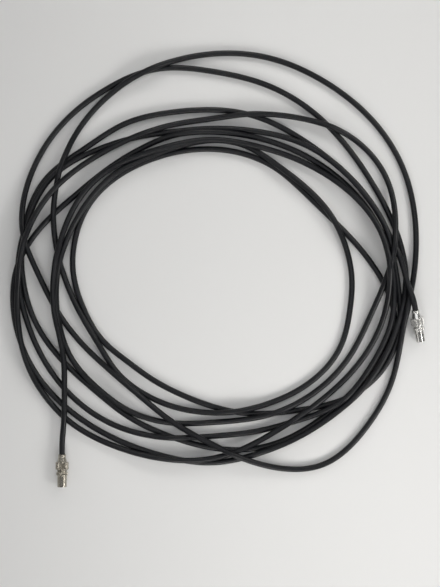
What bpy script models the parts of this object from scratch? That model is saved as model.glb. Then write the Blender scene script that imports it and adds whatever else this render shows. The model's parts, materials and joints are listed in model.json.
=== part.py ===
"""A long coaxial lead lying in a loose coil, with a screw-cap coaxial plug on each end.

Metres, +Z up. The lead lies on the plane z = 0, and the origin is the centre of the
whole model's footprint on that plane. Each plug is nine turned pieces on one axis:
screw cap, clamp claw, thrust washer, shell, insulator and centre pin, with the braid,
dielectric and conductor of the stripped cable end inside them.
"""
import math

import bmesh
import bpy
from mathutils import Matrix, Vector

MM = 0.001
GAP = 0.3 * MM                   # clearance between two pieces
MERGE = 0.01 * MM

# The cable and its coil. A turn is a row of radii about the coil's centre, one every
# TURN_STEP degrees clockwise from +Y, and the rows follow each other from plug a to plug b.
CABLE_RADIUS = 2.9 * MM
COIL_CENTRE = Vector((-4.2 * MM, -7.1 * MM))
COIL_HEIGHT = 21.5 * MM         # four strands lie on each other at the highest crossing
TURN_STEP = 15.0
FIRST_TURN_ANGLE = 255.0
TURN_RADII_MM = (
    165, 161, 158, 156, 150, 141, 137,
    137, 137, 142, 151, 163, 174, 178, 178, 174, 169, 168,
    175, 186, 193, 201, 209, 210, 204, 196, 191, 181, 169, 161, 158,
    159, 169, 183, 198, 202, 191, 176, 165, 162, 159, 155, 151,
    150, 156, 162, 164, 167, 163, 158, 152, 147, 143, 137, 135,
    137, 135, 129, 129, 133, 137, 141, 144, 149, 148, 144, 141,
    140, 140, 140, 139, 136, 141, 152, 167, 183, 199, 211, 219,
    225, 228, 227, 226, 222, 213, 204, 200, 211, 220, 223, 200,
    172, 155, 144, 142, 149, 161, 177, 200, 212, 217, 218, 217,
    207, 201, 195, 189, 187, 191, 196, 194, 192, 188, 186, 187,
    191, 191, 194, 200, 206, 207, 200, 182, 162, 152, 148, 147,
    145, 146, 150, 157, 166, 175, 182, 187, 185, 182, 171, 165,
    164, 171, 181, 188, 192, 195, 198, 196, 192, 176, 161, 151,
    149, 152, 159, 166, 173, 181, 186, 197, 197, 181, 160, 146,
    134, 126, 123, 124, 131, 136, 142, 145, 145, 140, 134, 130,
    128, 127, 126, 125, 130, 145, 169, 191, 189, 184, 183, 182,
    176, 170, 168, 168, 176, 187, 194, 198, 196, 183, 178, 171,
    168, 167, 165, 167, 174, 182,
)

# Where each plug lies: the rear of its screw cap, in millimetres from the point of the floor
# under the coil's centre, its heading in degrees clockwise from +Y, and how far its tip dips.
# Plug b leans down from the top of the coil, with its tip on the floor.
PLUGS = {
    "a": {"rear": (-153.1, -182.1, 6.7), "heading": 180.0, "dip": 0.0},
    "b": {"rear": (204.6, -35.8, 11.7), "heading": 168.4, "dip": 12.0},
}

# The free stretch of cable behind each plug, in millimetres: distance behind the cap's rear
# and rise above the plug's axis.
FREE_CABLE = {
    "a": ((36.5, 1.9), (28.0, 1.6), (20.0, 0.8), (12.0, 0.2), (6.0, 0.0)),
    "b": ((6.5, 0.0),),
}

# A plug's pieces, as (distance from the rear, radius) in millimetres.
CAP_OUTSIDE = ((0.0, 3.55), (0.3, 3.8), (2.2, 3.8), (2.5, 3.6), (7.4, 4.95), (7.6, 6.3),
               (7.9, 6.6), (15.0, 6.6), (15.3, 6.3))
CAP_BORE = ((0.0, 3.25), (4.2, 3.25), (8.4, 4.5), (8.8, 5.35), (15.3, 5.35))
CLAW_OUTSIDE = ((6.2, 3.5), (8.5, 4.15), (9.2, 4.15), (9.2, 4.9), (10.4, 4.9))
CLAW_BORE = ((6.2, 3.2), (10.4, 3.2))
WASHER_OUTSIDE = ((10.7, 4.9), (11.7, 4.9))
WASHER_BORE = ((10.7, 3.2), (11.7, 3.2))
SHELL_OUTSIDE = ((12.0, 4.75), (12.3, 5.0), (18.0, 5.0), (18.0, 5.45), (18.3, 5.7), (21.0, 5.7),
                 (21.3, 5.4), (21.3, 4.75), (32.7, 4.75), (33.0, 4.5))
SHELL_BORE = ((12.0, 3.9), (20.9, 3.9), (20.9, 3.3), (21.5, 3.3), (21.5, 4.05), (33.0, 4.05))
INSULATOR_OUTSIDE = ((15.6, 3.6), (20.6, 3.6))
INSULATOR_BORE = ((15.6, 1.3), (20.6, 1.3))
PIN_OUTSIDE = ((14.2, 0.98), (21.8, 0.98), (22.0, 1.17), (30.7, 1.17), (31.2, 0.95),
               (31.5, 0.55), (31.6, 0.0))
PIN_BORE = ((14.2, 0.7), (18.2, 0.7), (18.2, 0.0))
BRAID_OUTSIDE = ((12.0, 3.5), (13.4, 3.5))
BRAID_BORE = ((12.0, 2.2), (13.4, 2.2))
DIELECTRIC_OUTSIDE = ((12.0, 1.9), (13.9, 1.9))
DIELECTRIC_BORE = ((12.0, 0.7), (13.9, 0.7))
CONDUCTOR_OUTSIDE = ((12.1, 0.4), (17.8, 0.4), (17.8, 0.0))
JACKET_END = 11.7                # the cable's jacket stops at the washer's front

# Each slot goes right through the plug's axis, and a second one crosses it.
SLOT_REACH = 16.0
CLAW_SLOT_WIDTH = 0.8
CLAW_SLOT = (5.5, 9.0)
BARREL_SLIT_WIDTH = 0.7
BARREL_SLIT = (23.0, 34.0)
BARREL_SLIT_TURN = {"a": 69.0, "b": 45.0}

# The bays that clear the plugs and their free cable out of the coil's solid.
BAY_WIDTH = {"a": 6.8, "b": 14.6}
BAY_HEIGHT = 60.0
BAY_AHEAD = 40.0                 # past the rear of the plug

TURNED_STEPS = 32
CABLE_SIDES_RESOLUTION = 4       # bevel_resolution, which gives 12 sides
OUTLINE_POINTS = 72
ROUTE_STEP = 3.0                 # degrees between the points that find the coil's outline
LAST_STRETCH_POINTS = 8          # from the end of the last turn to the free cable of plug b

# Colour, metallic and roughness of each material.
FINISHES = {
    "jacket": ((0.012, 0.012, 0.013), 0.0, 0.42),
    "nickel": ((0.60, 0.57, 0.52), 1.0, 0.30),
    "brass": ((0.70, 0.52, 0.24), 1.0, 0.35),
    "steel": ((0.55, 0.55, 0.56), 1.0, 0.32),
    "polythene": ((0.86, 0.86, 0.82), 0.0, 0.45),
    "tinned_copper": ((0.72, 0.62, 0.53), 1.0, 0.38),
    "copper": ((0.80, 0.40, 0.24), 1.0, 0.30),
}


def clear_scene():
    """Remove every object that the file holds."""
    for item in list(bpy.data.objects):
        bpy.data.objects.remove(item, do_unlink=True)


def new_collection(name):
    group = bpy.data.collections.new(name)
    bpy.context.scene.collection.children.link(group)
    return group


def add_material(item, kind):
    """Give an object a Principled material of its own, in one of the finishes."""
    colour, metallic, roughness = FINISHES[kind]
    material = bpy.data.materials.new(item.name + "_" + kind)
    material.use_nodes = True
    shader = material.node_tree.nodes["Principled BSDF"]
    shader.inputs["Base Color"].default_value = (*colour, 1.0)
    shader.inputs["Metallic"].default_value = metallic
    shader.inputs["Roughness"].default_value = roughness
    item.data.materials.append(material)


# ---------------------------------------------------------------- turned pieces

def turned(name, outside, bore, kind, group, parent):
    """A piece turned about local Z: its outside from the tip to the rear, then its bore."""
    points = list(reversed(outside)) + list(bore)
    mesh = bpy.data.meshes.new(name)
    edges = [(i, i + 1) for i in range(len(points) - 1)]
    on_axis = outside[-1][1] == 0.0
    if not on_axis:
        edges.append((len(points) - 1, 0))
    mesh.from_pydata([(radius * MM, 0.0, along * MM) for along, radius in points], edges, [])
    item = bpy.data.objects.new(name, mesh)
    group.objects.link(item)
    screw = item.modifiers.new("turn", "SCREW")
    screw.axis = "Z"
    screw.steps = TURNED_STEPS
    screw.render_steps = TURNED_STEPS
    screw.use_merge_vertices = True
    screw.merge_threshold = MERGE
    screw.use_smooth_shade = False
    item.parent = parent
    add_material(item, kind)
    return item


def block_cutter(name, end, width, height, along, turn, group):
    """A block about a plug's axis, from one distance along it to another."""
    start, stop = along
    bpy.ops.mesh.primitive_cube_add(size=1.0)
    cutter = bpy.context.active_object
    cutter.name = name
    for owner in list(cutter.users_collection):
        owner.objects.unlink(cutter)
    group.objects.link(cutter)
    middle = Matrix.Translation((0.0, 0.0, 0.5 * (start + stop) * MM))
    size = Matrix.Diagonal((height * MM, width * MM, (stop - start) * MM, 1.0))
    cutter.data.transform(Matrix.Rotation(math.radians(turn), 4, "Z") @ middle @ size)
    cutter.matrix_world = plug_matrix(end)
    cutter.hide_render = True
    cutter.display_type = "WIRE"
    return cutter


def cut(item, cutter):
    boolean = item.modifiers.new("cut_" + cutter.name, "BOOLEAN")
    boolean.operation = "DIFFERENCE"
    boolean.solver = "EXACT"
    boolean.object = cutter


def add_plug(end, parts, cutters):
    """One plug: an empty on its axis, and its nine pieces, from the rear to the tip."""
    frame = bpy.data.objects.new("plug_" + end, None)
    parts.objects.link(frame)
    frame.matrix_world = plug_matrix(end)

    turned("screw_cap_" + end, CAP_OUTSIDE, CAP_BORE, "nickel", parts, frame)
    claw = turned("clamp_claw_" + end, CLAW_OUTSIDE, CLAW_BORE, "brass", parts, frame)
    turned("thrust_washer_" + end, WASHER_OUTSIDE, WASHER_BORE, "steel", parts, frame)
    shell = turned("plug_shell_" + end, SHELL_OUTSIDE, SHELL_BORE, "nickel", parts, frame)
    turned("pin_insulator_" + end, INSULATOR_OUTSIDE, INSULATOR_BORE, "polythene", parts, frame)
    turned("centre_pin_" + end, PIN_OUTSIDE, PIN_BORE, "nickel", parts, frame)
    turned("braid_end_" + end, BRAID_OUTSIDE, BRAID_BORE, "tinned_copper", parts, frame)
    turned("dielectric_end_" + end, DIELECTRIC_OUTSIDE, DIELECTRIC_BORE, "polythene", parts, frame)
    rod_rear = ((CONDUCTOR_OUTSIDE[0][0], 0.0),)
    turned("conductor_end_" + end, CONDUCTOR_OUTSIDE, rod_rear, "copper", parts, frame)

    for turn in (0.0, 90.0):
        name = "claw_slot_%s_%d" % (end, turn)
        cut(claw, block_cutter(name, end, CLAW_SLOT_WIDTH, SLOT_REACH, CLAW_SLOT, turn, cutters))
        name = "barrel_slit_%s_%d" % (end, turn)
        turn += BARREL_SLIT_TURN[end]
        cut(shell, block_cutter(name, end, BARREL_SLIT_WIDTH, SLOT_REACH, BARREL_SLIT, turn, cutters))


def plug_direction(end):
    """The way a plug points, from its rear to its tip."""
    heading = math.radians(PLUGS[end]["heading"])
    dip = math.radians(PLUGS[end]["dip"])
    level = math.cos(dip)
    return Vector((level * math.sin(heading), level * math.cos(heading), -math.sin(dip)))


def plug_matrix(end):
    """A frame at the rear of a plug's cap: local Z along the plug, local X upwards."""
    forward = plug_direction(end)
    side = forward.cross(Vector((0.0, 0.0, 1.0))).normalized()
    turn = Matrix((side.cross(forward), side, forward)).transposed().to_4x4()
    place = COIL_CENTRE.to_3d() + Vector(PLUGS[end]["rear"]) * MM
    return Matrix.Translation(place) @ turn


# ---------------------------------------------------------------- cable

def smooth_value(values, place):
    """The value at a fractional place in a list, on a cubic through its neighbours."""
    last = len(values) - 1
    low = min(int(place), last - 1)
    t = place - low
    before, start = values[max(low - 1, 0)], values[low]
    end, after = values[low + 1], values[min(low + 2, last)]
    curve = (2 * before - 5 * start + 4 * end - after) * t * t
    curve += (3 * start - before - 3 * end + after) * t * t * t
    return start + 0.5 * ((end - before) * t + curve)


def coil_points():
    """Points along the coil's turns, as (angle in degrees, radius), plug a's end first."""
    count = int((len(TURN_RADII_MM) - 1) * TURN_STEP / ROUTE_STEP)
    points = []
    for i in range(count + 1):
        angle = i * ROUTE_STEP
        points.append((FIRST_TURN_ANGLE + angle, smooth_value(TURN_RADII_MM, angle / TURN_STEP) * MM))
    return points


def coil_outline(widest):
    """The coil's outer outline, or its inner one, as points about the coil's centre."""
    points = coil_points()
    back = -plug_direction("b") * FREE_CABLE["b"][0][0]
    corner = (Vector(PLUGS["b"]["rear"]) + back).xy * MM
    start = Vector((math.sin(math.radians(points[-1][0])), math.cos(math.radians(points[-1][0]))))
    start *= points[-1][1]
    for i in range(LAST_STRETCH_POINTS):
        place = start.lerp(corner, (i + 1) / LAST_STRETCH_POINTS)
        angle = math.degrees(math.atan2(place.x, place.y)) % 360.0
        points.append((angle, place.length))

    half_window = 0.5 * 360.0 / OUTLINE_POINTS + ROUTE_STEP
    outline = []
    for i in range(OUTLINE_POINTS):
        angle = i * 360.0 / OUTLINE_POINTS
        near = [radius for at, radius in points
                if abs((at - angle + 180.0) % 360.0 - 180.0) <= half_window]
        if widest:
            radius = max(near) + CABLE_RADIUS
        else:
            radius = min(near) - CABLE_RADIUS
        turn = math.radians(angle)
        outline.append((radius * math.sin(turn), radius * math.cos(turn), 0.0))
    return outline


def add_coil(parts, cutters):
    """The coil's solid: the outline of all its turns, open in the middle."""
    data = bpy.data.curves.new("coil_outline", "CURVE")
    data.dimensions = "2D"
    data.fill_mode = "BOTH"
    data.extrude = 0.5 * COIL_HEIGHT
    for widest in (True, False):
        outline = coil_outline(widest)
        spline = data.splines.new("POLY")
        spline.points.add(len(outline) - 1)
        for point, place in zip(spline.points, outline):
            point.co = (*place, 1.0)
        spline.use_cyclic_u = True
    flat = bpy.data.objects.new("coil_outline", data)
    parts.objects.link(flat)
    flat.location = (COIL_CENTRE.x, COIL_CENTRE.y, 0.5 * COIL_HEIGHT)
    coil = solid_from_curve(flat, "coil", parts)
    add_material(coil, "jacket")
    for end, width in BAY_WIDTH.items():
        bay = (-FREE_CABLE[end][0][0] - GAP / MM, BAY_AHEAD)
        cut(coil, block_cutter("bay_" + end, end, width, BAY_HEIGHT, bay, 0.0, cutters))


def solid_from_curve(curve, name, group):
    """Turn a curve object into a welded mesh object in the same place."""
    bpy.context.view_layer.update()
    evaluated = curve.evaluated_get(bpy.context.evaluated_depsgraph_get())
    mesh = bpy.data.meshes.new_from_object(evaluated)
    item = bpy.data.objects.new(name, mesh)
    item.matrix_world = curve.matrix_world
    group.objects.link(item)
    bpy.data.objects.remove(curve, do_unlink=True)
    work = bmesh.new()
    work.from_mesh(mesh)
    bmesh.ops.remove_doubles(work, verts=work.verts, dist=MERGE)
    work.to_mesh(mesh)
    work.free()
    return item


def add_lead(end, parts):
    """The free cable behind a plug, from the coil to the end of its jacket in the plug."""
    matrix = plug_matrix(end)
    places = [matrix @ Vector((rise * MM, 0.0, -behind * MM)) for behind, rise in FREE_CABLE[end]]
    places.append(matrix @ Vector((0.0, 0.0, JACKET_END * MM)))
    data = bpy.data.curves.new("lead_" + end, "CURVE")
    data.dimensions = "3D"
    data.bevel_depth = CABLE_RADIUS
    data.bevel_resolution = CABLE_SIDES_RESOLUTION
    data.use_fill_caps = True
    spline = data.splines.new("POLY")
    spline.points.add(len(places) - 1)
    for point, place in zip(spline.points, places):
        point.co = (*place, 1.0)
    lead = bpy.data.objects.new("lead_" + end, data)
    parts.objects.link(lead)
    add_material(lead, "jacket")


def main():
    clear_scene()
    parts = new_collection("coiled_coaxial_lead")
    cutters = new_collection("cutters")
    add_coil(parts, cutters)
    for end in PLUGS:
        add_lead(end, parts)
        add_plug(end, parts, cutters)


main()
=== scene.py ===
"""The looks of a long coaxial lead in a loose coil, with a screw-cap coaxial plug on each end.

The tables of sizes are in millimetres. What is built from them is in metres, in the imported
model's frame. A distance along a plug runs from the rear of its screw cap to its tip.
"""

import json
import math
from collections import namedtuple

import bpy
import numpy as np
from mathutils import Matrix, Vector


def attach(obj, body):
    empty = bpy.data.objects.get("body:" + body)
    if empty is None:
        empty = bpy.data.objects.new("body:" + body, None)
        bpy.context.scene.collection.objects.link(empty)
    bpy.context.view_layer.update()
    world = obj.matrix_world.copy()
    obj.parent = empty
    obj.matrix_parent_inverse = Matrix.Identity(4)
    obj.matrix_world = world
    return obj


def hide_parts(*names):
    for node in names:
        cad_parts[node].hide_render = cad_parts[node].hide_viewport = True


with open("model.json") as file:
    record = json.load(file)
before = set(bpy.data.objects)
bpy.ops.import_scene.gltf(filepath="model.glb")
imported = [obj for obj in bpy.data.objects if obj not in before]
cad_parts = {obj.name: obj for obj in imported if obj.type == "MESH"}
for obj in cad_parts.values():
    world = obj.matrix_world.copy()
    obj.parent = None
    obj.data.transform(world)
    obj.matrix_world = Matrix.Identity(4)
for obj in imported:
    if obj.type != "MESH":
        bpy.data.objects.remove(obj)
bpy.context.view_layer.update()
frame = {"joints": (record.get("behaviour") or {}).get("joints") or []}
JOINTS = {joint["name"]: joint for joint in frame["joints"]}

MM = 0.001
ENDS = ("a", "b")

# ---------------------------------------------------------------- the cable's route

CABLE_RADIUS = 2.9
COIL_CENTRE = (-4.2, -7.1)
TURN_STEP = 15.0                 # degrees between two radii of a turn
FIRST_TURN_ANGLE = 255.0         # clockwise from +Y
JACKET_END = 11.7                # how far the jacket reaches into a plug

# Radii of the turns about the coil's centre, clockwise, plug a's end first.
TURN_RADII = (
    165, 161, 158, 156, 150, 141, 137,
    137, 137, 142, 151, 163, 174, 178, 178, 174, 169, 168,
    175, 186, 193, 201, 209, 210, 204, 196, 191, 181, 169, 161, 158,
    159, 169, 183, 198, 202, 191, 176, 165, 162, 159, 155, 151,
    150, 156, 162, 164, 167, 163, 158, 152, 147, 143, 137, 135,
    137, 135, 129, 129, 133, 137, 141, 144, 149, 148, 144, 141,
    140, 140, 140, 139, 136, 141, 152, 167, 183, 199, 211, 219,
    225, 228, 227, 226, 222, 213, 204, 200, 211, 220, 223, 200,
    172, 155, 144, 142, 149, 161, 177, 200, 212, 217, 218, 217,
    207, 201, 195, 189, 187, 191, 196, 194, 192, 188, 186, 187,
    191, 191, 194, 200, 206, 207, 200, 182, 162, 152, 148, 147,
    145, 146, 150, 157, 166, 175, 182, 187, 185, 182, 171, 165,
    164, 171, 181, 188, 192, 195, 198, 196, 192, 176, 161, 151,
    149, 152, 159, 166, 173, 181, 186, 197, 197, 181, 160, 146,
    134, 126, 123, 124, 131, 136, 142, 145, 145, 140, 134, 130,
    128, 127, 126, 125, 130, 145, 169, 191, 189, 184, 183, 182,
    176, 170, 168, 168, 176, 187, 194, 198, 196, 183, 178, 171,
    168, 167, 165, 167, 174, 182,
)
# The cable between plug a and the first turn, and between the last turn and plug b.
LEAD_A = ((-153.1, -172.0), (-152.3, -160.0), (-151.3, -149.0), (-150.8, -137.8), (-150.6, -121.7),
          (-150.6, -105.3), (-151.0, -90.4), (-152.5, -77.3), (-155.0, -63.0))
LEAD_B = ((179.5, 38.8), (182.6, 32.6), (185.6, 25.5), (188.9, 17.3), (192.1, 8.2),
          (195.0, -2.5), (198.0, -13.0))
STRAIGHT_BEHIND_B = 7.0          # how far the cable runs straight behind plug b

# How the strands lie on each other.
ROUTE_STEP = 4.0                 # between two rings of the cable
CURVE_STEP = 0.5                 # between the points that a curve is measured on
LAY_WIDTH = 5.85                 # least distance between two strands' centrelines
SAME_STRAND = 4 * LAY_WIDTH      # two places no further apart than this along the cable can't cross
HELD = {"a": 26.0, "b": 20.0}    # the last stretch at each plug lies along the plug's axis
EASY_BEND = 34.0                 # the radius at which it then bends down
CROSSING_OVER = (1535.0, 1680.0)  # degrees of the fourth turn, where it crosses over the others
LAST_LEG = 75.0                  # the stretch before plug b that lies on top
# Settling: in every round the cable sinks, and its stiffness spreads its heights along it.
SETTLING_ROUNDS = 300
SINK = 0.4
LIFTS = 2                        # passes over the stacked strands in every round
STIFFNESS = 4.0                  # in rings
FINISH_SPREAD = 1.5              # in rings
CABLE_SIDES = 20

# ---------------------------------------------------------------- a plug's pieces

CAP_OUTSIDE = ((0.0, 3.55), (0.3, 3.8), (2.2, 3.8), (2.5, 3.6), (7.4, 4.95), (7.6, 6.3),
               (7.9, 6.6), (15.0, 6.6), (15.3, 6.3))
CAP_BORE = ((0.0, 3.25), (4.2, 3.25), (8.4, 4.5), (8.8, 5.35), (15.3, 5.35))
CLAW_OUTSIDE = ((6.2, 3.5), (8.5, 4.15), (9.2, 4.15), (9.2, 4.9), (10.4, 4.9))
CLAW_BORE = ((6.2, 3.2), (6.5, 3.02), (6.8, 3.2), (7.4, 3.2), (7.7, 3.02), (8.0, 3.2), (10.4, 3.2))
WASHER_OUTSIDE = ((10.7, 4.9), (11.7, 4.9))
WASHER_BORE = ((10.7, 3.2), (11.7, 3.2))
SHELL_OUTSIDE = ((12.0, 4.75), (12.3, 5.0), (17.4, 5.0), (17.55, 4.6), (18.0, 4.6), (18.0, 5.45),
                 (18.3, 5.7), (21.0, 5.7), (21.3, 5.4), (21.3, 4.75), (32.6, 4.75), (33.0, 4.4))
SHELL_BORE = ((12.0, 3.9), (20.9, 3.9), (20.9, 3.3), (21.5, 3.3), (21.5, 4.05), (33.0, 4.05))
INSULATOR_OUTSIDE = ((15.6, 3.6), (20.6, 3.6))
INSULATOR_BORE = ((15.6, 1.3), (20.3, 1.3), (20.6, 1.6))
PIN_OUTSIDE = ((14.2, 0.98), (21.8, 0.98), (22.0, 1.17), (30.7, 1.17), (31.2, 0.95),
               (31.5, 0.55), (31.6, 0.0))
PIN_BORE = ((14.2, 0.7), (18.2, 0.7), (18.2, 0.0))
BRAID_OUTSIDE = ((12.0, 3.5), (13.4, 3.5))
BRAID_BORE = ((12.0, 2.2), (13.4, 2.2))
DIELECTRIC_OUTSIDE = ((12.0, 1.9), (13.9, 1.9))
DIELECTRIC_BORE = ((12.0, 0.7), (13.9, 0.7))
CONDUCTOR_OUTSIDE = ((12.1, 0.4), (17.8, 0.4), (17.8, 0.0))
CONDUCTOR_REAR = ((12.1, 0.0),)

CORNER = 0.14                    # how much of a side a rounded corner takes
CORNER_SHARE = 0.3               # and at most this share of the side
CORNER_STEPS = 3
SHOULDER = 0.45                  # from a corner to the row that ends its wear
SHOULDER_SHARE = 0.45            # and at most this share of the side

# A band of relief on a turned surface: from start to end along the plug, on the surface of
# radius on, between the radii low and high, with rows step apart, as shape(angle, distance)
# says from 0 to 1. It fades out over ramp at both ends. A crossed band is a diamond knurl.
Band = namedtuple("Band", "start end on low high step ramp shape crossed")

THREAD_PITCH = 1.0
THREAD_ROWS = 8
CAP_DIAMONDS = 40
CAP_DIAMOND_LENGTH = 1.2
COLLAR_TEETH = 48
BRAID_STRANDS = 24
BRAID_LENGTH = 0.7


def thread(angle, along):
    """A right-hand screw thread."""
    return 0.5 + 0.5 * math.cos(math.tau * along / THREAD_PITCH - angle)


def ramp(phase):
    """1 where the phase is whole, falling straight to 0 half way between."""
    return abs(2.0 * (phase % 1.0) - 1.0)


def diamonds(count, length):
    """Pyramids between two sets of crossing grooves."""
    def shape(angle, along):
        around = count * angle / math.tau
        return min(ramp(around + along / length), ramp(around - along / length))
    return shape


def teeth(count):
    """Straight ridges with flat tops, all the way along."""
    def shape(angle, _along):
        return min(1.0, max(0.0, 4.0 * abs((count * angle / math.tau) % 1.0 - 0.5) - 0.5))
    return shape


CAP_KNURL = Band(8.1, 14.8, 6.6, 6.22, 6.6, CAP_DIAMOND_LENGTH / 4, 0.3,
                 diamonds(CAP_DIAMONDS, CAP_DIAMOND_LENGTH), True)
CAP_THREAD = Band(9.2, 14.9, 5.35, 4.8, 5.15, THREAD_PITCH / THREAD_ROWS, 0.5, thread, False)
SHELL_THREAD = Band(12.6, 17.2, 5.0, 4.65, 5.0, THREAD_PITCH / THREAD_ROWS, 0.5, thread, False)
COLLAR_KNURL = Band(18.5, 20.8, 5.7, 5.4, 5.7, 0.2, 0.2, teeth(COLLAR_TEETH), False)
BRAID_WEAVE = Band(12.2, 13.2, 3.5, 3.3, 3.5, BRAID_LENGTH / 4, 0.1,
                   diamonds(BRAID_STRANDS, BRAID_LENGTH), True)

# Each piece of a plug: its name, the body it rides, the CAD node it replaces, its material
# slot, its outline, its columns and its bands.
PIECES = (
    ("knurled_cap", "cap", "screw_cap", "nickel", CAP_OUTSIDE, CAP_BORE, 4 * CAP_DIAMONDS,
     (CAP_KNURL, CAP_THREAD)),
    ("split_claw", "claw", "clamp_claw", "brass", CLAW_OUTSIDE, CLAW_BORE, 72, ()),
    ("washer", "coiled_lead", "thrust_washer", "steel", WASHER_OUTSIDE, WASHER_BORE, 72, ()),
    ("plug_body", "coiled_lead", "plug_shell", "nickel", SHELL_OUTSIDE, SHELL_BORE,
     4 * COLLAR_TEETH, (SHELL_THREAD, COLLAR_KNURL)),
    ("insulator", "coiled_lead", "pin_insulator", "polythene", INSULATOR_OUTSIDE,
     INSULATOR_BORE, 64, ()),
    ("pin", "coiled_lead", "centre_pin", "nickel", PIN_OUTSIDE, PIN_BORE, 40, ()),
    ("braid", "coiled_lead", "braid_end", "tinned_copper", BRAID_OUTSIDE, BRAID_BORE,
     4 * BRAID_STRANDS, (BRAID_WEAVE,)),
    ("dielectric", "coiled_lead", "dielectric_end", "polythene", DIELECTRIC_OUTSIDE,
     DIELECTRIC_BORE, 48, ()),
    ("conductor", "coiled_lead", "conductor_end", "copper", CONDUCTOR_OUTSIDE,
     CONDUCTOR_REAR, 24, ()),
)

# Two crossing slots through the plug's axis: their width, start and end, and the turn of the
# first one in degrees.
CLAW_SLOTS = (0.8, 5.5, 9.0)
CLAW_TURN = 0.0
BARREL_SLITS = (0.7, 22.9, 34.0)
BARREL_TURN = {"a": 69.0, "b": 45.0}
SLOT_REACH = 16.0                # across the whole plug
SLOT_ARC_STEPS = 8


# ---------------------------------------------------------------- helpers

def new_object(name, mesh):
    """A new object in the scene."""
    item = bpy.data.objects.new(name, mesh)
    bpy.context.scene.collection.objects.link(item)
    return item


def smooth_shading(mesh, sharp=35.0):
    """Smooth shading, with the edges that turn more than sharp degrees left crisp."""
    mesh.shade_smooth()
    mesh.set_sharp_from_angle(angle=math.radians(sharp))


def apply_modifiers(item):
    """Put what an object's modifiers make into its mesh."""
    bpy.context.view_layer.update()
    graph = bpy.context.evaluated_depsgraph_get()
    made = bpy.data.meshes.new_from_object(item.evaluated_get(graph))
    item.modifiers.clear()
    item.data = made


def plug_axis(end):
    """The middle of the rear of a plug's cap, and the way the plug points."""
    joint = JOINTS["cap_turn_" + end]
    return Vector(joint["pos_m"]), -Vector(joint["axis"])


def plug_matrix(end):
    """A frame at the rear of a plug: local Z along the plug, local X upwards."""
    rear, forward = plug_axis(end)
    side = forward.cross(Vector((0.0, 0.0, 1.0))).normalized()
    turn = Matrix((side.cross(forward), side, forward)).transposed().to_4x4()
    return Matrix.Translation(rear) @ turn


# ---------------------------------------------------------------- the cable

def spline_through(points, step):
    """Points step apart on the smooth curve (a natural cubic spline) through these points."""
    points = np.asarray(points, float)
    chord = np.linalg.norm(np.diff(points, axis=0), axis=1)
    count = len(points)
    system = np.eye(count)
    target = np.zeros_like(points)
    for i in range(1, count - 1):
        before, after = chord[i - 1], chord[i]
        system[i, i - 1:i + 2] = before, 2.0 * (before + after), after
        target[i] = 6.0 * ((points[i + 1] - points[i]) / after - (points[i] - points[i - 1]) / before)
    bend = np.linalg.solve(system, target)

    dense = []
    for i in range(count - 1):
        span = chord[i]
        t = np.arange(0.0, span, CURVE_STEP)[:, None]
        slope = (points[i + 1] - points[i]) / span - span * (2.0 * bend[i] + bend[i + 1]) / 6.0
        dense.append(points[i] + t * slope + t ** 2 * bend[i] / 2.0
                     + t ** 3 * (bend[i + 1] - bend[i]) / (6.0 * span))
    dense.append(points[-1:])
    return evenly(np.vstack(dense), step)


def distances(line):
    """How far along a line each of its points is."""
    return np.concatenate([[0.0], np.cumsum(np.linalg.norm(np.diff(line, axis=0), axis=1))])


def evenly(line, step):
    """The line again with its points an even step apart."""
    along = distances(line)
    places = np.linspace(0.0, along[-1], int(round(along[-1] / step)) + 1)
    return np.stack([np.interp(places, along, line[:, k]) for k in range(line.shape[1])], axis=1)


def route_in_plan():
    """The cable's plan about the coil's centre in millimetres, from plug a's jacket end to plug b's."""
    def on_axis(end, along):
        rear, forward = plug_axis(end)
        place = rear / MM + forward * along
        return place.x - COIL_CENTRE[0], place.y - COIL_CENTRE[1]

    points = [on_axis("a", JACKET_END), on_axis("a", 0.0), *LEAD_A]
    for i, radius in enumerate(TURN_RADII):
        angle = math.radians(FIRST_TURN_ANGLE + i * TURN_STEP)
        points.append((radius * math.sin(angle), radius * math.cos(angle)))
    points += [*LEAD_B, *(on_axis("b", along) for along in (-STRAIGHT_BEHIND_B, 0.0, JACKET_END))]
    return spline_through(points, ROUTE_STEP)


def over_and_under(plan):
    """A rank for each point of the plan: where two strands cross, the higher one is on top.

    The rank falls from plug a's end on, apart from the two stretches that lie over all others.
    """
    along = distances(plan)
    count = len(plan)
    rank = np.arange(count, 0, -1, dtype=float)
    # Angles clockwise from +Y, going on from turn to turn.
    angle = np.degrees(np.unwrap(np.arctan2(plan[:, 0], plan[:, 1]))) + 360.0
    start, end = CROSSING_OVER
    rank[(angle >= start) & (angle <= end)] += 2 * count
    rank[along > along[-1] - LAST_LEG] += 4 * count
    return rank


def spread_along(values, width):
    """Smooth a value along the cable, over about width rings to each side."""
    reach = int(3 * width + 1)
    weight = np.exp(-0.5 * (np.arange(-reach, reach + 1) / width) ** 2)
    return np.convolve(np.pad(values, reach, mode="edge"), weight / weight.sum(), mode="valid")


def axis_heights(plan, end):
    """The height in millimetres of a plug's axis, carried on straight, at each point of the plan."""
    rear, forward = (np.array((vector.x, vector.y, vector.z)) for vector in plug_axis(end))
    from_rear = plan + COIL_CENTRE - rear[:2] / MM
    along = from_rear @ forward[:2] / (forward[:2] @ forward[:2])
    return rear[2] / MM + along * forward[2]


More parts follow.
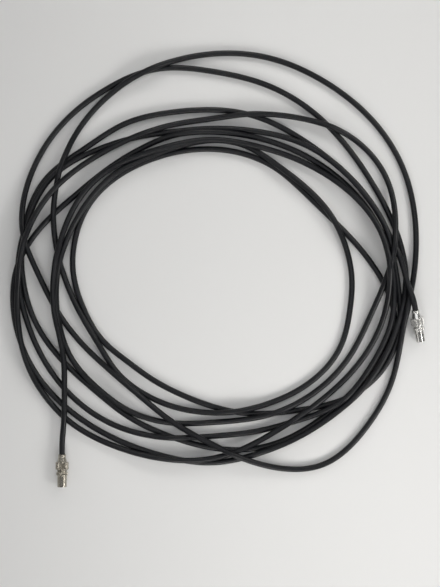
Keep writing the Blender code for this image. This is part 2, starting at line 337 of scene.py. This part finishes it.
def settled(plan):
    """The cable's centreline in millimetres: every strand lies on the floor or on the ones below it."""
    count = len(plan)
    along = distances(plan)
    rank = over_and_under(plan)
    flat = ((plan[:, None, :] - plan[None, :, :]) ** 2).sum(axis=2)
    apart = np.abs(np.arange(count)[:, None] - np.arange(count)[None, :]) * ROUTE_STEP
    crosses = (flat < LAY_WIDTH ** 2) & (apart > SAME_STRAND) & (rank[:, None] > rank[None, :])
    upper, lower = np.nonzero(crosses)
    climb = np.sqrt(LAY_WIDTH ** 2 - flat[upper, lower])

    height = np.full(count, CABLE_RADIUS)
    for i in np.argsort(rank, kind="stable"):
        met = upper == i
        if met.any():
            height[i] = max(CABLE_RADIUS, (height[lower[met]] + climb[met]).max())
    # Near a plug the cable keeps to the plug's axis, and past that it bends down gently.
    held = np.zeros(count, bool)
    lift = np.full(count, CABLE_RADIUS)
    for end, from_end in (("a", along), ("b", along[-1] - along)):
        past = np.maximum(from_end - HELD[end], 0.0)
        lift = np.maximum(lift, axis_heights(plan, end) - past ** 2 / (2.0 * EASY_BEND))
        held |= past == 0.0
    for _ in range(SETTLING_ROUNDS):
        height = spread_along(height, STIFFNESS) - SINK
        for _ in range(LIFTS):
            support = lift.copy()
            np.maximum.at(support, upper, height[lower] + climb)
            height = np.maximum(height, support)
        height[held] = lift[held]
    height = np.maximum(spread_along(height, FINISH_SPREAD), lift)
    height[held] = lift[held]
    return np.column_stack([plan, height])


def add_cable():
    """The cable: a closed tube along its settled centreline. UVs are metres round and along it."""
    line = settled(route_in_plan())
    line = (line + np.array([*COIL_CENTRE, 0.0])) * MM
    count = len(line)
    tangent = np.gradient(line, axis=0)
    tangent /= np.linalg.norm(tangent, axis=1)[:, None]
    side = np.cross(tangent, (0.0, 0.0, 1.0))
    side /= np.linalg.norm(side, axis=1)[:, None]
    up = np.cross(side, tangent)
    turn = np.arange(CABLE_SIDES) * math.tau / CABLE_SIDES
    radius = CABLE_RADIUS * MM
    rings = line[:, None, :] + radius * (np.cos(turn)[None, :, None] * side[:, None, :]
                                         + np.sin(turn)[None, :, None] * up[:, None, :])

    faces = []
    uvs = []
    along = distances(line)
    for i in range(count - 1):
        for k in range(CABLE_SIDES):
            after = (k + 1) % CABLE_SIDES
            faces.append((i * CABLE_SIDES + k, (i + 1) * CABLE_SIDES + k,
                          (i + 1) * CABLE_SIDES + after, i * CABLE_SIDES + after))
            left, right = (j * math.tau * radius / CABLE_SIDES for j in (k, k + 1))
            uvs += [(left, along[i]), (left, along[i + 1]), (right, along[i + 1]), (right, along[i])]
    first_ring = range(CABLE_SIDES)
    last_ring = range((count - 1) * CABLE_SIDES, count * CABLE_SIDES)
    faces += [tuple(first_ring), tuple(reversed(last_ring))]
    for middle in (along[0], along[-1]):
        uvs += [(radius * (1.0 + math.cos(t)), middle + radius * math.sin(t)) for t in turn]

    mesh = bpy.data.meshes.new("cable")
    mesh.from_pydata(rings.reshape(-1, 3).tolist(), [], faces)
    layer = mesh.uv_layers.new(name="metres")
    layer.data.foreach_set("uv", np.array(uvs, np.float32).ravel())
    smooth_shading(mesh)
    return new_object("cable", mesh), line


# ---------------------------------------------------------------- turned pieces

def rounded(profile, closed):
    """A profile's rows (distance, radius, wear), with every corner rounded. Wear is 1 on a corner."""
    rows = []
    for i, corner in enumerate(profile):
        if not closed and i in (0, len(profile) - 1):
            rows.append((*corner, 0.0))
            continue
        here = Vector(corner)
        sides = (Vector(profile[i - 1]) - here, Vector(profile[(i + 1) % len(profile)]) - here)
        cut = min(CORNER, *(CORNER_SHARE * side.length for side in sides))
        start, end = (here + cut * side.normalized() for side in sides)
        shoulders = [here + min(SHOULDER, SHOULDER_SHARE * side.length) * side.normalized()
                     for side in sides]
        rows.append((*shoulders[0], 0.0))
        for k in range(CORNER_STEPS + 1):
            t = k / CORNER_STEPS
            place = (1 - t) ** 2 * start + 2 * t * (1 - t) * here + t ** 2 * end
            rows.append((*place, 1.0))
        rows.append((*shoulders[1], 0.0))
    return rows


def with_bands(rows, bands, closed):
    """The same rows as (distance, radius, wear, band), with the rows that each band needs."""
    dense = []
    for i, (along, radius, wear) in enumerate(rows):
        dense.append((along, radius, wear, None))
        if i == len(rows) - 1 and not closed:
            break
        next_along, next_radius, _ = rows[(i + 1) % len(rows)]
        for band in bands:
            flat = max(abs(radius - band.on), abs(next_radius - band.on)) < 1e-6
            count = int(round((band.end - band.start) / band.step))
            places = [band.start + k * band.step for k in range(count + 1)]
            low, high = sorted((along, next_along))
            inside = [place for place in places if flat and low < place < high]
            inside.sort(reverse=next_along < along)
            dense += [(place, band.on, 0.0, band) for place in inside]
    return dense


def turned(name, outside, bore, columns, bands):
    """A piece turned about local Z. Its surface attributes are wear on corners and recess in grooves."""
    profile = [*reversed(outside), *bore]
    closed = profile[0][1] > 0.0
    rows = with_bands(rounded(profile, closed), bands, closed)
    places, wears, recesses, starts = [], [], [], []
    for along, radius, wear, band in rows:
        starts.append(len(places))
        for k in range(1 if radius == 0.0 else columns):
            angle = math.tau * k / columns
            reach, recess = radius, 0.0
            if band:
                fade = min(1.0, max(0.0, min(along - band.start, band.end - along) / band.ramp))
                height = band.shape(angle, along)
                reach += fade * (band.low + (band.high - band.low) * height - band.on)
                recess = fade * (1.0 - height)
            places.append((reach * math.cos(angle) * MM, reach * math.sin(angle) * MM, along * MM))
            wears.append(wear)
            recesses.append(recess)

    faces = []
    for i in range(len(rows) if closed else len(rows) - 1):
        j = (i + 1) % len(rows)
        crossed = rows[i][3] and rows[i][3].crossed
        for k in range(columns):
            after = (k + 1) % columns
            if rows[i][1] == 0.0:
                faces.append((starts[i], starts[j] + k, starts[j] + after))
                continue
            if rows[j][1] == 0.0:
                faces.append((starts[i] + k, starts[j], starts[i] + after))
                continue
            quad = (starts[i] + k, starts[j] + k, starts[j] + after, starts[i] + after)
            if crossed:
                # Cut along the diagonal that lies deeper, so that a groove stays straight.
                a, b, c, d = (recesses[n] for n in quad)
                turn = 0 if a + c >= b + d else 1
                a, b, c, d = quad[turn:] + quad[:turn]
                faces += [(a, b, c), (a, c, d)]
            else:
                faces.append(quad)

    mesh = bpy.data.meshes.new(name)
    mesh.from_pydata(places, [], faces)
    for label, values in (("wear", wears), ("recess", recesses)):
        mesh.attributes.new(label, "FLOAT", "POINT").data.foreach_set("value", values)
    smooth_shading(mesh)
    return new_object(name, mesh)


def cut_slots(item, width, start, end, first_turn):
    """Cut two crossing slots with round ends through a turned piece, along its axis."""
    half = 0.5 * width
    round_end = [math.pi * k / SLOT_ARC_STEPS for k in range(SLOT_ARC_STEPS + 1)]
    outline = [(start + half * (1.0 - math.sin(t)), -half * math.cos(t)) for t in round_end]
    outline += [(end, half), (end, -half)]
    count = len(outline)
    for turn in (first_turn, first_turn + 90.0):
        places = [(side, across, along) for side in (-0.5 * SLOT_REACH, 0.5 * SLOT_REACH)
                  for along, across in outline]
        faces = [tuple(reversed(range(count))), tuple(range(count, 2 * count))]
        for k in range(count):
            after = (k + 1) % count
            faces.append((k, after, after + count, k + count))
        mesh = bpy.data.meshes.new("slot")
        mesh.from_pydata([tuple(value * MM for value in place) for place in places], [], faces)
        cutter = new_object("slot", mesh)
        cutter.matrix_world = item.matrix_world @ Matrix.Rotation(math.radians(turn), 4, "Z")
        boolean = item.modifiers.new("slot", "BOOLEAN")
        boolean.operation = "DIFFERENCE"
        boolean.solver = "EXACT"
        boolean.object = cutter
        apply_modifiers(item)
        bpy.data.objects.remove(cutter, do_unlink=True)
    smooth_shading(item.data)


# ---------------------------------------------------------------- materials

JACKET_DARK = (0.0050, 0.0055, 0.0074)
JACKET_LIGHT = (0.0088, 0.0094, 0.0115)
SCUFF = (0.045, 0.043, 0.042)
DUST = (0.16, 0.155, 0.145)
POLYTHENE = ((0.80, 0.79, 0.73), (0.90, 0.89, 0.85))
FLOOR = ((0.785, 0.785, 0.785), (0.805, 0.805, 0.804))

# A metal: its colour, where it is dull, the colour of the painted shade in its grooves, its
# roughness, and how much of it is dull, from 0 to 1.
Metal = namedtuple("Metal", "colour dull dirt roughness tarnish")
METALS = {
    "turned_brass": Metal((0.80, 0.61, 0.30), (0.46, 0.31, 0.13), (0.07, 0.05, 0.03), 0.24, 0.4),
    "washer_steel": Metal((0.62, 0.62, 0.63), (0.36, 0.35, 0.34), (0.05, 0.05, 0.05), 0.27, 0.3),
    "tinned_braid": Metal((0.74, 0.67, 0.60), (0.50, 0.40, 0.32), (0.10, 0.07, 0.05), 0.30, 0.4),
    "bare_copper": Metal((0.90, 0.48, 0.31), (0.52, 0.24, 0.14), (0.08, 0.04, 0.02), 0.24, 0.3),
    # Two copies of one nickel: plug a's is painted darker and warmer, as painted shade, and plug b's
    # lighter, as painted light.
    "shaded_nickel": Metal((0.58, 0.55, 0.48), (0.30, 0.27, 0.225), (0.04, 0.035, 0.028), 0.13, 0.5),
    "lit_nickel": Metal((0.74, 0.735, 0.72), (0.52, 0.51, 0.49), (0.16, 0.155, 0.15), 0.14, 0.2),
}


def new_material(name, values):
    """A material with a Principled shader whose sockets hold these values."""
    material = bpy.data.materials.new(name)
    material.use_nodes = True
    tree = material.node_tree
    shader = tree.nodes["Principled BSDF"]
    for label, value in values.items():
        shader.inputs[label].default_value = value
    return material, tree, shader


def node(tree, kind, inputs=(), **settings):
    """A node whose inputs are set by name: to a value, or to another node's output."""
    made = tree.nodes.new("ShaderNode" + kind)
    for label, value in settings.items():
        setattr(made, label, value)
    for label, value in dict(inputs).items():
        if isinstance(value, bpy.types.NodeSocket):
            tree.links.new(value, made.inputs[label])
        else:
            made.inputs[label].default_value = value
    return made


def noise(tree, coordinates, scale, detail=3.0, stretch=None):
    """Noise from 0 to 1 with scale spots a metre, stretched by one factor for each axis."""
    vector = coordinates
    if stretch:
        vector = node(tree, "Mapping", {"Vector": coordinates, "Scale": stretch}).outputs["Vector"]
    found = node(tree, "TexNoise", {"Vector": vector, "Scale": scale, "Detail": detail})
    return found.outputs["Fac"]


def between(tree, value, low, high, to_low=0.0, to_high=1.0):
    """The value, taken from the range low to high to the range to_low to to_high."""
    inputs = {"Value": value, "From Min": low, "From Max": high, "To Min": to_low, "To Max": to_high}
    return node(tree, "MapRange", inputs).outputs["Result"]


def maths(tree, operation, first, second):
    """The result of a sum, kept from 0 to 1."""
    return node(tree, "Math", {0: first, 1: second}, operation=operation, use_clamp=True).outputs[0]


def mixed(tree, share, first, second):
    """One colour turning into another as share goes from 0 to 1."""
    made = node(tree, "Mix", data_type="RGBA")
    sockets = {s.identifier: s for s in made.inputs}
    tree.links.new(share, sockets["Factor_Float"])
    for label, colour in (("A_Color", first), ("B_Color", second)):
        if isinstance(colour, bpy.types.NodeSocket):
            tree.links.new(colour, sockets[label])
        else:
            sockets[label].default_value = (*colour, 1.0)
    return next(s for s in made.outputs if s.identifier == "Result_Color")


def bump(tree, shader, layers):
    """Bump on a shader from layers of (height, distance in metres)."""
    normal = None
    for height, distance in layers:
        inputs = {"Height": height, "Distance": distance, "Strength": 1.0}
        if normal:
            inputs["Normal"] = normal
        normal = node(tree, "Bump", inputs).outputs["Normal"]
    tree.links.new(normal, shader.inputs["Normal"])


def drive(tree, shader, colour, roughness):
    """Let these outputs set a shader's colour and roughness."""
    tree.links.new(colour, shader.inputs["Base Color"])
    tree.links.new(roughness, shader.inputs["Roughness"])


def jacket_material():
    """Satin black PVC: faint lines along it from extrusion, soft blotches, scuffs and a little dust."""
    material, tree, shader = new_material("black_pvc", {"Specular IOR Level": 0.3})
    metres = node(tree, "UVMap", uv_map="metres").outputs["UV"]
    room = node(tree, "TexCoord").outputs["Object"]
    blotches = noise(tree, room, 45.0)
    lines = noise(tree, metres, 2600.0, stretch=(1.0, 0.02, 1.0))
    grain = noise(tree, room, 2500.0, detail=2.0)
    scuffs = between(tree, noise(tree, metres, 700.0, stretch=(1.0, 0.2, 1.0)), 0.60, 0.74)
    scuffs = maths(tree, "MULTIPLY", scuffs, between(tree, blotches, 0.45, 0.6))
    dust = between(tree, noise(tree, room, 1300.0, detail=1.0), 0.70, 0.76)
    colour = mixed(tree, between(tree, blotches, 0.3, 0.7), JACKET_DARK, JACKET_LIGHT)
    colour = mixed(tree, maths(tree, "MULTIPLY", scuffs, 0.5), colour, SCUFF)
    colour = mixed(tree, maths(tree, "MULTIPLY", dust, 0.5), colour, DUST)
    roughness = maths(tree, "ADD", between(tree, blotches, 0.3, 0.7, 0.30, 0.40),
                      maths(tree, "MULTIPLY", scuffs, 0.14))
    drive(tree, shader, colour, roughness)
    bump(tree, shader, ((lines, 0.00003), (grain, 0.00002), (blotches, 0.0002)))
    return material


def metal_material(name):
    """Turned metal: fine rings from the lathe, dull blotches, painted shade in its grooves, bright worn
    corners.
    """
    colour, dull, groove_shade_colour, roughness, tarnish = METALS[name]
    material, tree, shader = new_material(name, {"Metallic": 1.0})
    local = node(tree, "TexCoord").outputs["Object"]
    wear = node(tree, "Attribute", attribute_name="wear").outputs["Fac"]
    recess = node(tree, "Attribute", attribute_name="recess").outputs["Fac"]
    blotches = noise(tree, local, 420.0, detail=5.0)
    rings = noise(tree, local, 5200.0, detail=2.0, stretch=(0.04, 0.04, 1.0))
    scratches = noise(tree, local, 2600.0, detail=3.0, stretch=(1.0, 1.0, 0.06))
    worn = maths(tree, "MULTIPLY", between(tree, wear, 0.5, 1.0), between(tree, blotches, 0.35, 0.6))
    dulled = between(tree, blotches, 0.62 - 0.3 * tarnish, 0.78 - 0.2 * tarnish,
                     0.12 + 0.3 * tarnish, 0.9)
    dulled = maths(tree, "SUBTRACT", dulled, maths(tree, "MULTIPLY", worn, 0.8))
    # Painted shade: the grooves of knurls and threads are darkened toward a dark colour by their depth,
    # and made rougher.
    groove_shade_mask = maths(tree, "MULTIPLY", between(tree, recess, 0.45, 1.0), 0.45 + 0.35 * tarnish)
    shade = mixed(tree, dulled, colour, dull)
    shade = mixed(tree, groove_shade_mask, shade, groove_shade_colour)
    gloss = maths(tree, "ADD", between(tree, scratches, 0.35, 0.65, roughness, roughness + 0.10),
                  maths(tree, "MULTIPLY", dulled, 0.16))
    gloss = maths(tree, "ADD", gloss, maths(tree, "MULTIPLY", groove_shade_mask, 0.35))
    drive(tree, shader, shade, gloss)
    bump(tree, shader, ((rings, 0.000012), (scratches, 0.000008), (blotches, 0.00003)))
    return material


def polythene_material():
    """Natural polythene: milky white, a little see-through, with a soft moulded surface."""
    see_through = {"Subsurface Weight": 0.35, "Subsurface Scale": 0.001}
    material, tree, shader = new_material("white_polythene", see_through)
    local = node(tree, "TexCoord").outputs["Object"]
    clouds = noise(tree, local, 260.0)
    grain = noise(tree, local, 3200.0, detail=2.0)
    colour = mixed(tree, clouds, *POLYTHENE)
    drive(tree, shader, colour, between(tree, clouds, 0.3, 0.7, 0.36, 0.5))
    bump(tree, shader, ((grain, 0.000015), (clouds, 0.00005)))
    return material


def materials():
    """Each slot's material for each plug. Plug a's nickel is a darker, warmer copy of plug b's, as painted
    shade.
    """
    shared = {"polythene": polythene_material()}
    for slot, name in (("brass", "turned_brass"), ("steel", "washer_steel"),
                       ("tinned_copper", "tinned_braid"), ("copper", "bare_copper")):
        shared[slot] = metal_material(name)
    # Plug a gets the shaded copy of the nickel and plug b the lit copy: painted shade and painted light.
    return {"a": {**shared, "nickel": metal_material("shaded_nickel")},
            "b": {**shared, "nickel": metal_material("lit_nickel")}}


def floor_material():
    """A pale, matt board with faint clouds."""
    material, tree, shader = new_material("pale_board", {"Specular IOR Level": 0.3})
    place = node(tree, "TexCoord").outputs["Object"]
    clouds = noise(tree, place, 3.0, detail=2.0)
    colour = mixed(tree, clouds, *FLOOR)
    drive(tree, shader, colour, between(tree, clouds, 0.3, 0.7, 0.55, 0.65))
    return material


# ---------------------------------------------------------------- the assembly

def add_plug(end, finishes):
    """One plug's nine pieces, each riding its body in place of its CAD node."""
    made = []
    for name, body, cad_node, slot, outside, bore, columns, bands in PIECES:
        piece = turned(name + "_" + end, outside, bore, columns, bands)
        piece.matrix_world = plug_matrix(end)
        if name == "split_claw":
            cut_slots(piece, *CLAW_SLOTS, CLAW_TURN)
        if name == "plug_body":
            cut_slots(piece, *BARREL_SLITS, BARREL_TURN[end])
        piece.data.materials.append(finishes[slot])
        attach(piece, body if body == "coiled_lead" else body + "_" + end)
        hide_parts(cad_node + "_" + end)
        made.append(piece)
    return made


def build_lead():
    """Both plugs, and the cable between them in place of the CAD coil and leads."""
    finishes = materials()
    plugs = {end: add_plug(end, finishes[end]) for end in ENDS}
    cable, line = add_cable()
    cable.data.materials.append(jacket_material())
    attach(cable, "coiled_lead")
    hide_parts("coil", "lead_a", "lead_b")


# ---------------------------------------------------------------- stage

FLOOR_SIZE = 8.0
VIEW_CENTRE = (0.0029, -0.0260)
VIEW_LENGTH = 0.5987             # what the view's long side covers on the floor
CAMERA_HEIGHT = 1.3
SENSOR = 36.0

# Soft lights, in rings: how far out from the middle of the floor, how high, how wide and how
# tall, their spread, the distance out that they aim at, their colour, and each one's bearing
# clockwise from +Y and power.
Ring = namedtuple("Ring", "distance height size spread aim colour lights")
RINGS = (
    Ring(0.0, 1.2, (1.5, 0.5), 180.0, 0.0, (0.975, 0.99, 1.0), ((0.0, 3.0),)),
    Ring(0.95, 0.55, (0.4, 0.4), 80.0, 0.25, (1.0, 0.985, 0.955),
         ((0.0, 0.50), (52.0, 0.54), (128.0, 1.00), (180.0, 0.70))),
    Ring(2.2, 1.0, (1.4, 1.2), 180.0, 0.0, (1.0, 0.985, 0.965),
         ((55.0, 3.0), (125.0, 3.6), (235.0, 4.6), (305.0, 5.0))),
)
FILL = 0.10
FILL_COLOUR = (1.0, 0.995, 0.985, 1.0)


def add_floor():
    """A plain floor at height 0."""
    mesh = bpy.data.meshes.new("floor")
    half = 0.5 * FLOOR_SIZE
    mesh.from_pydata([(-half, -half, 0.0), (half, -half, 0.0), (half, half, 0.0), (-half, half, 0.0)],
                     [], [(0, 1, 2, 3)])
    floor = new_object("floor", mesh)
    floor.data.materials.append(floor_material())


def soft_light(place, target, power, colour, size, spread):
    """A rectangular area light that no camera sees."""
    data = bpy.data.lights.new("soft_light", "AREA")
    data.shape = "RECTANGLE"
    data.size, data.size_y = size
    data.spread = math.radians(spread)
    data.energy = power
    data.color = colour
    light = new_object("soft_light", data)
    light.location = place
    light.rotation_mode = "QUATERNION"
    light.rotation_quaternion = (target - place).to_track_quat("-Z", "Y")
    light.visible_camera = False


def add_lights():
    """Every ring's lights, and a faint fill from all round."""
    for ring in RINGS:
        for bearing, power in ring.lights:
            way = Vector((math.sin(math.radians(bearing)), math.cos(math.radians(bearing)), 0.0))
            place = ring.distance * way + Vector((0.0, 0.0, ring.height))
            soft_light(place, ring.aim * way, power, ring.colour, ring.size, ring.spread)
    world = bpy.data.worlds.new("fill")
    bpy.context.scene.world = world
    world.use_nodes = True
    shader = world.node_tree.nodes["Background"]
    shader.inputs["Color"].default_value = FILL_COLOUR
    shader.inputs["Strength"].default_value = FILL


def add_camera():
    """A camera straight above the floor, whose long side covers VIEW_LENGTH."""
    data = bpy.data.cameras.new("camera")
    data.sensor_width = SENSOR
    data.lens = SENSOR * CAMERA_HEIGHT / VIEW_LENGTH
    camera = new_object("camera", data)
    camera.location = (*VIEW_CENTRE, CAMERA_HEIGHT)
    bpy.context.scene.camera = camera
    bpy.context.scene.view_settings.view_transform = "Standard"


build_lead()
add_floor()
add_lights()
add_camera()
